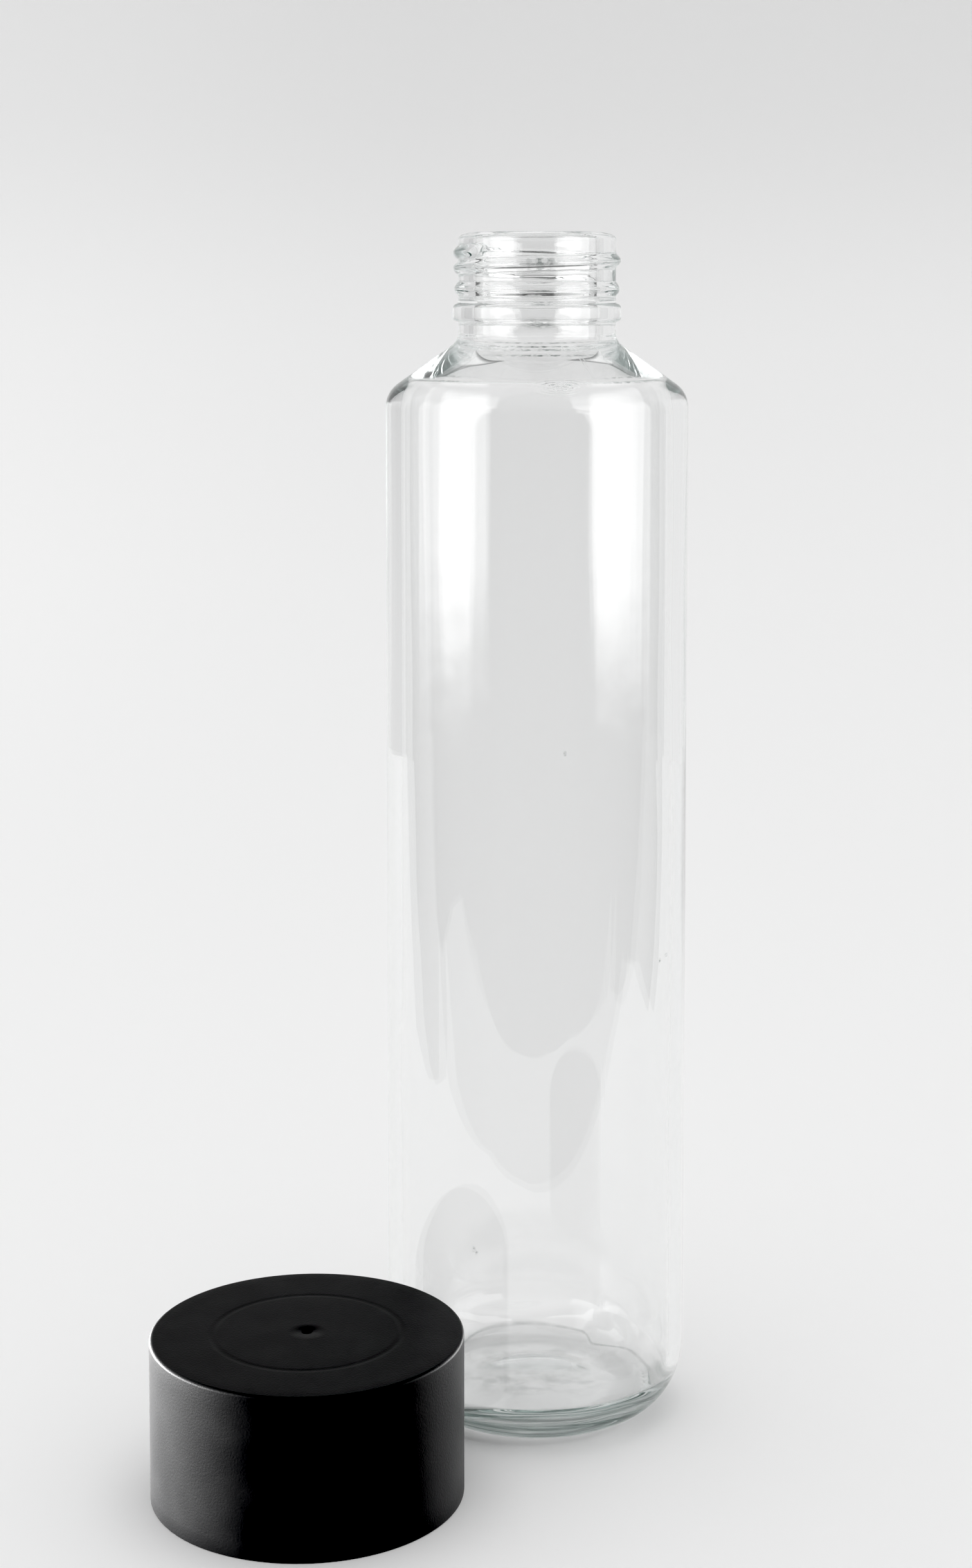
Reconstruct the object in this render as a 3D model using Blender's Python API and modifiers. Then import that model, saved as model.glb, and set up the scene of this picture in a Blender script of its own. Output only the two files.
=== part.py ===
# A clear tubular glass bottle, open at the mouth, with its black screw cap standing beside it.
# Metres, +Z up. The side that faces the viewer is -Y, and both pieces stand on the plane z = 0.

import math

import bmesh
import bpy

MM = 0.001

# The bottle's driving sizes.
BOTTLE_HEIGHT = 248.5 * MM
BODY_RADIUS = 31.5 * MM
NECK_RADIUS = 16.4 * MM
WALL = 3.1 * MM

# The lip: a rounded inner edge that carries the crest, and a land that falls to the outer corner.
LIP_INNER_ROUND = 0.6 * MM
LIP_OUTER_ROUND = 1.2 * MM
LIP_LAND_FALL = 0.4 * MM

# The shoulder is a straight cone between a small throat and a rounded corner, outside and inside.
SHOULDER_SLOPE = math.radians(35.3)
SHOULDER_CORNER = 6.0 * MM
SHOULDER_CORNER_BASE_Z = 212.3 * MM
THROAT_ROUND = 3.3 * MM
INNER_SLOPE = math.radians(31.0)
INNER_CORNER = 6.0 * MM
INNER_CORNER_BASE_Z = 212.6 * MM
INNER_THROAT_ROUND = 3.0 * MM

# The heel is a quarter ellipse from the wall to the bearing ring, round a shallow punt.
HEEL_WIDTH = 11.0 * MM
HEEL_HEIGHT = 14.1 * MM
BEARING_WIDTH = 2.0 * MM
PUNT_HEIGHT = 1.2 * MM
PUNT_STEPS = 5

# Inside, the floor is thick and the corner above it round.
FLOOR_EDGE_Z = 4.8 * MM
FLOOR_CENTRE_Z = 5.2 * MM
FLOOR_CORNER = 3.4 * MM

# The finish: just over one and a half turns of a right-hand thread, a locking ring and a transfer bead.
THREAD_PITCH = 25.4 / 8 * MM
THREAD_START_ANGLE = 235.0
THREAD_SWEEP = 595.0
THREAD_TOP_Z = 244.77 * MM
THREAD_CREST_RADIUS = 17.4 * MM
THREAD_BEAD = 1.15 * MM
LOCKING_RING_Z = 236.8 * MM
LOCKING_RING_RADIUS = 17.15 * MM
LOCKING_RING_HALF = 1.5 * MM
BEAD_TOP_Z = 233.8 * MM
BEAD_BOTTOM_Z = 230.0 * MM
BEAD_RADIUS = 17.5 * MM
BEAD_ROUND = 1.0 * MM

# The cap's driving sizes. It stands closed side up.
CAP_HEIGHT = 32.0 * MM
CAP_RADIUS = 31.0 * MM
CAP_WALL = 1.7 * MM
CAP_TOP = 2.0 * MM
CAP_EDGE_ROUND = 0.7 * MM
CAP_INNER_ROUND = 1.2 * MM

# The top shows a shallow sink ring over the collar inside, and the dimple of the moulding gate.
SINK_DEPTH = 0.15 * MM
SINK_HALF = 0.8 * MM
GATE_RADIUS = 1.2 * MM
GATE_FLAT = 0.7 * MM
GATE_DEPTH = 0.45 * MM

# The collar that screws onto the bottle's neck, with its own internal thread.
COLLAR_RADIUS = THREAD_CREST_RADIUS + 0.5 * MM
COLLAR_WALL = 1.5 * MM
COLLAR_DEPTH = 17.0 * MM
COLLAR_THREAD_CREST = NECK_RADIUS + 0.35 * MM
COLLAR_THREAD_BEAD = 1.0 * MM
COLLAR_THREAD_START = 4.5 * MM

# Where the cap stands, from the bottle's axis: to its left and nearer the viewer.
CAP_OFFSET_X = -46.1 * MM
CAP_OFFSET_Y = -44.6 * MM

# Both pieces are turned in this many flats, and arcs take one point for about this angle.
ROUND_STEPS = 48
ARC_STEP = 18.0
THREAD_STEP = 10.0
THREAD_FADE = 30.0
WELD = 1e-6


def arc(centre_r, centre_z, half_width, half_height, start, end):
    """Points of an ellipse from start to end degrees, measured from +R towards +Z."""
    count = max(2, round(abs(end - start) / ARC_STEP) + 1)
    points = []
    for i in range(count):
        angle = math.radians(start + (end - start) * i / (count - 1))
        points.append((centre_r + half_width * math.cos(angle), centre_z + half_height * math.sin(angle)))
    return points


def round_arc(centre_r, centre_z, radius, start, end):
    return arc(centre_r, centre_z, radius, radius, start, end)


def shoulder(neck_radius, wall_radius, throat, corner, corner_z, slope):
    """A face of the shoulder, from the neck down to the body."""
    turn = 90 - math.degrees(slope)
    corner_r = wall_radius - corner
    throat_r = neck_radius + throat
    # The cone is the common tangent of the two circles, so the throat's height follows from it.
    reach = corner + throat - (throat_r - corner_r) * math.sin(slope)
    throat_z = corner_z + reach / math.cos(slope)
    upper = round_arc(throat_r, throat_z, throat, 180, 180 + turn)
    lower = round_arc(corner_r, corner_z, corner, turn, 0)
    return upper + lower


def lip():
    """From the top of the bore over the crest to the neck's outer wall."""
    bore = NECK_RADIUS - WALL
    inner = round_arc(bore + LIP_INNER_ROUND, BOTTLE_HEIGHT - LIP_INNER_ROUND, LIP_INNER_ROUND, 180, 80)
    corner_z = BOTTLE_HEIGHT - LIP_LAND_FALL - LIP_OUTER_ROUND
    outer = round_arc(NECK_RADIUS - LIP_OUTER_ROUND, corner_z, LIP_OUTER_ROUND, 72, 0)
    return inner + outer


def finish_rings():
    """The locking ring and the transfer bead, down the outside of the neck."""
    ring_rise = LOCKING_RING_RADIUS - NECK_RADIUS
    ring = [(NECK_RADIUS, LOCKING_RING_Z + LOCKING_RING_HALF)]
    ring += arc(NECK_RADIUS, LOCKING_RING_Z, ring_rise, LOCKING_RING_HALF * 0.8, 54, -54)
    ring += [(NECK_RADIUS, LOCKING_RING_Z - LOCKING_RING_HALF)]
    round_r = BEAD_RADIUS - BEAD_ROUND
    bead = [(NECK_RADIUS, BEAD_TOP_Z)]
    bead += round_arc(round_r, BEAD_TOP_Z - BEAD_ROUND, BEAD_ROUND, 72, 0)
    bead += round_arc(round_r, BEAD_BOTTOM_Z + BEAD_ROUND, BEAD_ROUND, 0, -72)
    bead += [(NECK_RADIUS, BEAD_BOTTOM_Z - 0.2 * MM)]
    return ring + bead


def base():
    """From the body's wall round the heel to the bearing ring, and over the punt to the axis."""
    bearing_outer = BODY_RADIUS - HEEL_WIDTH
    bearing_inner = bearing_outer - BEARING_WIDTH
    heel = arc(bearing_outer, HEEL_HEIGHT, HEEL_WIDTH, HEEL_HEIGHT, 0, -90)
    punt = []
    for i in range(PUNT_STEPS + 1):
        part = i / PUNT_STEPS
        punt.append((bearing_inner * (1 - part), PUNT_HEIGHT * (0.5 - 0.5 * math.cos(math.pi * part))))
    return heel + punt


def bottle_profile():
    """The glass in section: up the inside from the floor, over the lip and down the outside."""
    inner_body = BODY_RADIUS - WALL
    floor_r = inner_body - FLOOR_CORNER
    inside = [(0, FLOOR_CENTRE_Z), (floor_r / 2, (FLOOR_CENTRE_Z + FLOOR_EDGE_Z) / 2)]
    inside += round_arc(floor_r, FLOOR_EDGE_Z + FLOOR_CORNER, FLOOR_CORNER, -90, 0)
    inner = (INNER_THROAT_ROUND, INNER_CORNER, INNER_CORNER_BASE_Z, INNER_SLOPE)
    inside += reversed(shoulder(NECK_RADIUS - WALL, inner_body, *inner))
    outer = (THROAT_ROUND, SHOULDER_CORNER, SHOULDER_CORNER_BASE_Z, SHOULDER_SLOPE)
    outside = shoulder(NECK_RADIUS, BODY_RADIUS, *outer) + base()
    return inside + lip() + finish_rings() + outside


def cap_profile():
    """The cap in section: the inside from the axis outwards, then the skirt, and back over the top."""
    inner_top = CAP_HEIGHT - CAP_TOP
    inner_wall = CAP_RADIUS - CAP_WALL
    collar_outer = COLLAR_RADIUS + COLLAR_WALL
    collar_foot = inner_top - COLLAR_DEPTH
    sink_r = COLLAR_RADIUS + COLLAR_WALL / 2
    edge_r = CAP_RADIUS - CAP_EDGE_ROUND
    top = [(0, CAP_HEIGHT - GATE_DEPTH), (GATE_FLAT, CAP_HEIGHT - GATE_DEPTH), (GATE_RADIUS, CAP_HEIGHT)]
    top += [(sink_r - SINK_HALF, CAP_HEIGHT), (sink_r, CAP_HEIGHT - SINK_DEPTH), (sink_r + SINK_HALF, CAP_HEIGHT)]
    top += round_arc(edge_r, CAP_HEIGHT - CAP_EDGE_ROUND, CAP_EDGE_ROUND, 90, 0)
    foot = [(CAP_RADIUS, 0), (inner_wall, 0)]
    inside = round_arc(inner_wall - CAP_INNER_ROUND, inner_top - CAP_INNER_ROUND, CAP_INNER_ROUND, 0, 90)
    collar = [(collar_outer, inner_top), (collar_outer, collar_foot)]
    collar += [(COLLAR_RADIUS, collar_foot), (COLLAR_RADIUS, inner_top)]
    return top + foot + inside + collar + [(0, inner_top)]


def thread_path(wall_radius, crest_radius, bead, top_z):
    """Centre points and sizes of a right-hand thread's round bead, faded into the wall at both ends."""
    outward = 1 if crest_radius > wall_radius else -1
    sunk = wall_radius - outward * 0.2 * MM
    count = round(THREAD_SWEEP / THREAD_STEP)
    path = []
    for i in range(count + 1):
        turned = THREAD_SWEEP * i / count
        rise = min(1.0, turned / THREAD_FADE, (THREAD_SWEEP - turned) / THREAD_FADE)
        rise = rise * rise * (3 - 2 * rise)
        size = 0.45 + 0.55 * rise
        centre = sunk + (crest_radius - sunk) * rise - outward * bead * size
        angle = math.radians(THREAD_START_ANGLE - turned)
        z = top_z - THREAD_PITCH * turned / 360
        path.append((centre * math.cos(angle), centre * math.sin(angle), z, size))
    return path


def turned_object(name, profile, material, collection):
    """A profile in the XZ plane, turned about the Z axis by a Screw modifier."""
    mesh = bpy.data.meshes.new(name)
    edges = [(i, i + 1) for i in range(len(profile) - 1)]
    mesh.from_pydata([(r, 0, z) for r, z in profile], edges, [])
    mesh.materials.append(material)
    piece = bpy.data.objects.new(name, mesh)
    collection.objects.link(piece)
    screw = piece.modifiers.new("Turn", "SCREW")
    screw.axis = "Z"
    screw.steps = ROUND_STEPS
    screw.render_steps = ROUND_STEPS
    screw.use_merge_vertices = True
    screw.merge_threshold = WELD
    screw.use_smooth_shade = True
    return piece


def thread_object(name, path, bead, material, collection):
    """The thread's bead as a closed mesh, made from a curve with filled caps."""
    curve = bpy.data.curves.new(name, "CURVE")
    curve.dimensions = "3D"
    curve.bevel_depth = bead
    curve.bevel_resolution = 2
    curve.use_fill_caps = True
    spline = curve.splines.new("POLY")
    spline.points.add(len(path) - 1)
    for point, (x, y, z, size) in zip(spline.points, path):
        point.co = (x, y, z, 1)
        point.radius = size
    guide = bpy.data.objects.new(name + "_guide", curve)
    collection.objects.link(guide)
    graph = bpy.context.evaluated_depsgraph_get()
    mesh = bpy.data.meshes.new_from_object(guide.evaluated_get(graph))
    bpy.data.objects.remove(guide)
    shape = bmesh.new()
    shape.from_mesh(mesh)
    bmesh.ops.remove_doubles(shape, verts=shape.verts, dist=WELD)
    bmesh.ops.recalc_face_normals(shape, faces=shape.faces)
    shape.to_mesh(mesh)
    shape.free()
    mesh.materials.clear()
    mesh.materials.append(material)
    bead_piece = bpy.data.objects.new(name, mesh)
    bead_piece.hide_render = True
    bead_piece.display_type = "WIRE"
    collection.objects.link(bead_piece)
    return bead_piece


def join(piece, other):
    """Fuses another closed mesh onto a piece, and carries it along."""
    other.parent = piece
    union = piece.modifiers.new("Fuse " + other.name, "BOOLEAN")
    union.operation = "UNION"
    union.object = other


def plain_material(name, colour, roughness, transmission=0.0):
    material = bpy.data.materials.new(name)
    material.use_nodes = True
    shader = material.node_tree.nodes["Principled BSDF"]
    shader.inputs["Base Color"].default_value = (*colour, 1)
    shader.inputs["Roughness"].default_value = roughness
    shader.inputs["Metallic"].default_value = 0
    shader.inputs["Transmission Weight"].default_value = transmission
    shader.inputs["IOR"].default_value = 1.52 if transmission else 1.49
    return material


def make_bottle(parts, helpers):
    glass = plain_material("Clear glass", (0.93, 0.96, 0.95), 0.02, transmission=1.0)
    bottle = turned_object("bottle", bottle_profile(), glass, parts)
    path = thread_path(NECK_RADIUS, THREAD_CREST_RADIUS, THREAD_BEAD, THREAD_TOP_Z)
    join(bottle, thread_object("bottle_thread", path, THREAD_BEAD, glass, helpers))
    return bottle


def make_cap(parts, helpers):
    plastic = plain_material("Black plastic", (0.012, 0.012, 0.012), 0.35)
    # The section starts at the top's centre, so it runs down the outer side first.
    cap = turned_object("cap", cap_profile(), plastic, parts)
    top_z = CAP_HEIGHT - CAP_TOP - COLLAR_THREAD_START
    path = thread_path(COLLAR_RADIUS, COLLAR_THREAD_CREST, COLLAR_THREAD_BEAD, top_z)
    join(cap, thread_object("cap_thread", path, COLLAR_THREAD_BEAD, plastic, helpers))
    return cap


def main():
    for old in list(bpy.data.objects):
        bpy.data.objects.remove(old)
    parts = bpy.data.collections.new("Tubular glass bottle")
    helpers = bpy.data.collections.new("Helpers")
    bpy.context.scene.collection.children.link(parts)
    bpy.context.scene.collection.children.link(helpers)
    stand = bpy.data.objects.new("stand_point", None)
    parts.objects.link(stand)

    # The origin is under the middle of the box round both pieces.
    left = min(-BODY_RADIUS, CAP_OFFSET_X - CAP_RADIUS)
    right = max(BODY_RADIUS, CAP_OFFSET_X + CAP_RADIUS)
    front = min(-BODY_RADIUS, CAP_OFFSET_Y - CAP_RADIUS)
    back = max(BODY_RADIUS, CAP_OFFSET_Y + CAP_RADIUS)
    bottle_x = -(left + right) / 2
    bottle_y = -(front + back) / 2

    bottle = make_bottle(parts, helpers)
    bottle.parent = stand
    bottle.location = (bottle_x, bottle_y, 0)
    cap = make_cap(parts, helpers)
    cap.parent = stand
    cap.location = (bottle_x + CAP_OFFSET_X, bottle_y + CAP_OFFSET_Y, 0)


main()
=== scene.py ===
import math

import bpy
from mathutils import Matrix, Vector


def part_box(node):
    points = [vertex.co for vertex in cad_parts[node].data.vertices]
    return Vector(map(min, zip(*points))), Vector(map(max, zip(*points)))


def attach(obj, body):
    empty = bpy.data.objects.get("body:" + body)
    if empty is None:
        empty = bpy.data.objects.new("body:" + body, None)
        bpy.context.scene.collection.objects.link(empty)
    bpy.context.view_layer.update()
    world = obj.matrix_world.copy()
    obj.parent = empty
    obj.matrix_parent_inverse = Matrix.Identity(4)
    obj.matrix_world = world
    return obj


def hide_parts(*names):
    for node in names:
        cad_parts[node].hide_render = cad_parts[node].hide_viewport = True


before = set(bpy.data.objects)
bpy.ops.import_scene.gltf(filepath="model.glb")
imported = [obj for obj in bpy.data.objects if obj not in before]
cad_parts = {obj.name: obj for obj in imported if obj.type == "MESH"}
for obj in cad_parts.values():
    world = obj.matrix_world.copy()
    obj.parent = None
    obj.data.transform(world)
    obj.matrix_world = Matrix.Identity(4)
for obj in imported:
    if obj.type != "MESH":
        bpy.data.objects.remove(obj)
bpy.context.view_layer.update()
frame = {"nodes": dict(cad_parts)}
mm = 0.001
print("frame loaded:", ", ".join(frame["nodes"]))


def axisOf(nodeName):
    low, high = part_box(nodeName)
    return ((low.x + high.x) / 2, (low.y + high.y) / 2, 0.0)


# Node trees: one helper adds a node and wires it, and short ones write sums.

def addNode(tree, kind, sockets=None, **settings):
    node = tree.nodes.new(kind)
    for name, value in settings.items():
        setattr(node, name, value)
    for name, value in (sockets or {}).items():
        if isinstance(value, bpy.types.NodeSocket):
            tree.links.new(value, node.inputs[name])
        else:
            node.inputs[name].default_value = value
    return node


def calc(tree, operation, *values, clamp=False):
    sockets = dict(enumerate(values))
    return addNode(tree, "ShaderNodeMath", sockets, operation=operation, use_clamp=clamp).outputs[0]


def plus(tree, total, *values):
    for value in values:
        total = calc(tree, "ADD", total, value)
    return total


def minus(tree, value, taken):
    return calc(tree, "SUBTRACT", value, taken)


def times(tree, product, *values):
    for value in values:
        product = calc(tree, "MULTIPLY", product, value)
    return product


def over(tree, value, divisor):
    return calc(tree, "DIVIDE", value, divisor)


def diagonal(tree, x, y):
    return calc(tree, "SQRT", plus(tree, times(tree, x, x), times(tree, y, y)))


# The angle from one to another, the short way round.
def angleBetween(tree, angle, other):
    return calc(tree, "WRAP", minus(tree, angle, other), 180.0, -180.0)


def joinXyz(tree, x, y, z):
    kind = "ShaderNodeCombineXYZ"
    return addNode(tree, kind, {"X": x, "Y": y, "Z": z}).outputs[0]


def splitXyz(tree, vector):
    return addNode(tree, "ShaderNodeSeparateXYZ", {0: vector}).outputs


def remap(tree, value, fromLow, fromHigh, toLow=0.0, toHigh=1.0, smooth=True):
    sockets = {"Value": value, 1: fromLow, 2: fromHigh, 3: toLow, 4: toHigh}
    kind = "SMOOTHSTEP" if smooth else "LINEAR"
    return addNode(tree, "ShaderNodeMapRange", sockets, interpolation_type=kind).outputs[0]


# How near a value is to a centre: one there, and none beyond the half width.
def nearness(tree, value, centre, halfWidth):
    away = calc(tree, "ABSOLUTE", minus(tree, value, centre))
    return remap(tree, away, halfWidth, 0.0)


def noise(tree, place, scale, detail, stretch=None):
    if stretch:
        place = addNode(tree, "ShaderNodeMapping", {"Vector": place, "Scale": stretch}).outputs[0]
    sockets = {"Vector": place, "Scale": scale, "Detail": detail}
    return addNode(tree, "ShaderNodeTexNoise", sockets).outputs[0]


def openTree(name, values):
    tree = bpy.data.node_groups.new(name, "GeometryNodeTree")
    kinds = {int: "NodeSocketInt", float: "NodeSocketFloat", tuple: "NodeSocketVector"}
    tree.interface.new_socket("Geometry", in_out="INPUT", socket_type="NodeSocketGeometry")
    for label, value in values.items():
        tree.interface.new_socket(label, in_out="INPUT", socket_type=kinds[type(value)])
    tree.interface.new_socket("Geometry", in_out="OUTPUT", socket_type="NodeSocketGeometry")
    return tree, tree.nodes.new("NodeGroupInput").outputs, tree.nodes.new("NodeGroupOutput")


# Runs a tree on a piece with its inputs set, and keeps the result as a plain mesh.
def runTree(piece, tree, values):
    modifier = piece.modifiers.new(tree.name, "NODES")
    modifier.node_group = tree
    for item in tree.interface.items_tree:
        if item.item_type == "SOCKET" and item.in_out == "INPUT" and item.name in values:
            modifier[item.identifier] = values[item.name]
    graph = bpy.context.evaluated_depsgraph_get()
    mesh = bpy.data.meshes.new_from_object(piece.evaluated_get(graph))
    piece.modifiers.remove(modifier)
    piece.data = mesh
    print(piece.name, "has", sum(len(face.vertices) - 2 for face in mesh.polygons), "triangles")


# Sections: rows of (radius, height), each with the shares of the forms that the turning adds.

def arcRows(centreR, centreZ, halfWidth, halfHeight, start, end, step=5.0, **shares):
    count = max(2, math.ceil(abs(end - start) / step) + 1)
    rows = []
    for i in range(count):
        angle = math.radians(start + (end - start) * i / (count - 1))
        r = centreR + halfWidth * math.cos(angle)
        rows.append((r, centreZ + halfHeight * math.sin(angle), shares))
    return rows


def roundRows(centreR, centreZ, radius, start, end, step=5.0, **shares):
    return arcRows(centreR, centreZ, radius, radius, start, end, step, **shares)


# Rows from the end of one stretch to the start of the next, both left out.
def straightRows(first, last, step, **shares):
    count = max(1, math.ceil(math.dist(first[:2], last[:2]) / step))
    rows = []
    for i in range(1, count):
        part = i / count
        r = first[0] + (last[0] - first[0]) * part
        rows.append((r, first[1] + (last[1] - first[1]) * part, shares))
    return rows


shareNames = ("threaded", "rippled", "settled", "stippled", "dimpled", "wrinkled")
beadPower = 1.15    # rounds the foot of the thread and of the locking ring
axisGap = 1e-6      # what lies nearer the axis than this is on it


def sectionPiece(name, rows):
    mesh = bpy.data.meshes.new(name)
    edges = [(i, i + 1) for i in range(len(rows) - 1)]
    mesh.from_pydata([(r, 0, z) for r, z, _ in rows], edges, [])
    for share in shareNames:
        attribute = mesh.attributes.new(share, "FLOAT", "POINT")
        for i, (_, _, shares) in enumerate(rows):
            attribute.data[i].value = shares.get(share, 0.0)
    piece = bpy.data.objects.new(name, mesh)
    bpy.context.scene.collection.objects.link(piece)
    return piece


# The thread's height at a point, as a share of its full height, for its first or second turn.
def threadShare(tree, given, angle, height, turn):
    wrapped = calc(tree, "WRAP", minus(tree, given["Thread Start"], angle), 360.0, 0.0)
    turned = plus(tree, wrapped, 360.0 * turn)
    left = minus(tree, given["Thread Sweep"], turned)
    ends = over(tree, calc(tree, "MINIMUM", turned, left), given["Thread Fade"])
    drop = over(tree, times(tree, turned, given["Thread Pitch"]), 360.0)
    centre = minus(tree, given["Thread Top"], drop)
    gap = over(tree, minus(tree, height, centre), given["Thread Half Width"])
    bead = calc(tree, "SUBTRACT", 1.0, times(tree, gap, gap), clamp=True)
    return times(tree, remap(tree, ends, 0.0, 1.0), calc(tree, "POWER", bead, beadPower))


# The floor's outline: waves round it (how many, how strong and from what angle) and dents and
# bulges in it (where, half how wide and how deep).
floorWaves = ((2, 0.06, 160.0), (3, 0.06, 10.0), (5, 0.025, 75.0), (11, 0.015, 20.0))
floorDents = (
    (46.0, 19.0, 1.25),
    (95.0, 36.0, -0.6),
    (143.0, 32.0, 0.8),
    (262.0, 42.0, 0.75),
    (305.0, 50.0, 0.7),
)


def floorLobes(tree, angle):
    lobes = 0.0
    for count, weight, shift in floorWaves:
        phase = calc(tree, "RADIANS", plus(tree, times(tree, angle, float(count)), shift))
        lobes = plus(tree, lobes, times(tree, calc(tree, "COSINE", phase), weight))
    for centre, halfWidth, weight in floorDents:
        away = calc(tree, "ABSOLUTE", angleBetween(tree, angle, centre))
        lobes = minus(tree, lobes, remap(tree, away, halfWidth, 0.0, 0.0, weight))
    return lobes


# Turns a section about an axis, and raises the thread, the ripple and the settled floor on it.
def turningTree(material, values):
    tree, given, done = openTree("Turned piece", values)
    section = given["Geometry"]
    domain = addNode(tree, "GeometryNodeAttributeDomainSize", {"Geometry": section})
    rows = domain.outputs["Point Count"]
    columns = plus(tree, given["Columns"], 1.0)
    sheet = addNode(tree, "GeometryNodeMeshGrid", {"Vertices X": columns, "Vertices Y": rows})
    index = addNode(tree, "GeometryNodeInputIndex").outputs[0]
    column = calc(tree, "FLOOR", over(tree, plus(tree, index, 0.5), rows))
    row = minus(tree, index, times(tree, column, rows))

    def sampled(kind, value):
        sockets = {"Geometry": section, "Value": value, "Index": row}
        return addNode(tree, "GeometryNodeSampleIndex", sockets, data_type=kind).outputs[0]

    def share(name):
        named = addNode(tree, "GeometryNodeInputNamedAttribute", {"Name": name})
        return sampled("FLOAT", named.outputs[0])

    def swirl(vector, size, detail):
        sockets = {"Vector": vector, "W": given["Seed"], "Scale": over(tree, 1.0, size), "Detail": detail}
        return addNode(tree, "ShaderNodeTexNoise", sockets, noise_dimensions="4D").outputs[0]

    def turnedTo(r, z):
        return joinXyz(tree, times(tree, cosine, r), times(tree, sine, r), z)

    position = addNode(tree, "GeometryNodeInputPosition").outputs[0]
    radius, _, height = splitXyz(tree, sampled("FLOAT_VECTOR", position))
    angle = times(tree, column, over(tree, 360.0, given["Columns"]))
    turn = calc(tree, "RADIANS", angle)
    cosine, sine = calc(tree, "COSINE", turn), calc(tree, "SINE", turn)

    turns = [threadShare(tree, given, angle, height, i) for i in range(2)]
    thread = times(tree, calc(tree, "MAXIMUM", *turns), share("threaded"), given["Thread Height"])

    # The blown wall's ripple is long up the wall and short round it.
    long = turnedTo(radius, times(tree, height, given["Ripple Stretch"]))
    uneven = minus(tree, swirl(long, given["Ripple Size"], 1.5), 0.5)
    uneven = times(tree, uneven, given["Ripple Depth"])
    ripple = times(tree, uneven, share("rippled"))
    dimple = times(tree, uneven, share("dimpled"))

    # Chilled glass wrinkles in fine level lines inside the neck.
    level = turnedTo(times(tree, radius, given["Wrinkle Squeeze"]), height)
    lines = remap(tree, swirl(level, given["Wrinkle Size"], 3.0), 0.5, 0.8)
    ripple = plus(tree, ripple, times(tree, lines, share("wrinkled"), given["Wrinkle Depth"]))

    settle = times(tree, floorLobes(tree, angle), share("settled"), given["Settle Depth"])

    # A ring of small crescents on the heel keeps the bearing surface off the table.
    dots = calc(tree, "SINE", times(tree, turn, given["Stipple Count"]))
    stipple = times(tree, dots, share("stippled"), given["Stipple Height"])

    wide = plus(tree, radius, plus(tree, thread, plus(tree, ripple, settle)))
    wide = times(tree, wide, calc(tree, "GREATER_THAN", radius, axisGap))
    raised = minus(tree, plus(tree, height, dimple), times(tree, settle, given["Settle Drop"]))
    spot = turnedTo(wide, plus(tree, raised, stipple))
    spot = addNode(tree, "ShaderNodeVectorMath", {0: spot, 1: given["Axis"]}, operation="ADD").outputs[0]

    sockets = {"Geometry": sheet.outputs["Mesh"], "Position": spot}
    turned = addNode(tree, "GeometryNodeSetPosition", sockets).outputs[0]
    sockets = {"Geometry": turned, "Distance": axisGap}
    closed = addNode(tree, "GeometryNodeMergeByDistance", sockets).outputs[0]
    outward = addNode(tree, "GeometryNodeFlipFaces", {0: closed}).outputs[0]
    smooth = addNode(tree, "GeometryNodeSetShadeSmooth", {0: outward}).outputs[0]
    plain = addNode(tree, "GeometryNodeRealizeInstances", {0: smooth}).outputs[0]
    sockets = {"Geometry": plain, "Material": material}
    dressed = addNode(tree, "GeometryNodeSetMaterial", sockets).outputs[0]
    tree.links.new(dressed, done.inputs[0])
    return tree


# Finishes.

def newMaterial(name):
    material = bpy.data.materials.new(name)
    material.use_nodes = True
    tree = material.node_tree
    return material, tree, tree.nodes["Principled BSDF"], tree.nodes["Material Output"]


def objectPlace(tree):
    return addNode(tree, "ShaderNodeTexCoord").outputs["Object"]


# Noise scales count per metre.
glassLook = {
    "ior": 1.52,
    "tint": (0.38, 0.5, 0.475, 1.0),
    "absorption": 6.0,
    "haze": 0.02,
    "hazeScale": 60.0,
    "waviness": 0.006 * mm,
    "waveScale": 90.0,
    # The crease line below is painted shade; the chill marks are marks in the glass.
    "lineShift": 0.35 * mm,
    "lineHalf": 0.65 * mm,
    "lineLoss": 0.6,
    "lineScale": 260.0,
    "chillRadius": 19.0 * mm,
    "chillLoss": 0.5,
    "chillScale": 190.0,
    # The tint of the painted shade and of the marks.
    "shadeAndMarkTint": (1.0, 0.97, 0.98),
    # Each painted shade line's height, its half width and its loss.
    "heelShadeLines": ((4.9 * mm, 1.3 * mm, 0.17), (7.2 * mm, 0.9 * mm, 0.35), (4.6 * mm, 7.5 * mm, 0.78)),
    "heelFrom": 23.0 * mm,
    "heelLean": 0.75,
    "heelScale": 70.0,
    # How far behind the axis the heel's painted shade ends, and where it is whole.
    "heelFade": (12.0 * mm, -4.0 * mm),
    # The dashes are painted shade over the stipple ring.
    "dashRadius": 23.9 * mm,
    "dashHalf": 0.5 * mm,
    "dashLoss": 0.6,
    "dashTop": 2.0 * mm,
    "markScale": 900.0,
    "seamTurn": -65.0,
    "seamHalf": 0.3,
    "seamHeight": 0.004 * mm,
    "dripX": 3.9 * mm,
    "dripZ": 217.0 * mm,
    "dripSquash": 5.0,
    "dripRing": 1.7 * mm,
    "dripRadius": 7.0 * mm,
    "dripHeight": 0.06 * mm,
}
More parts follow.
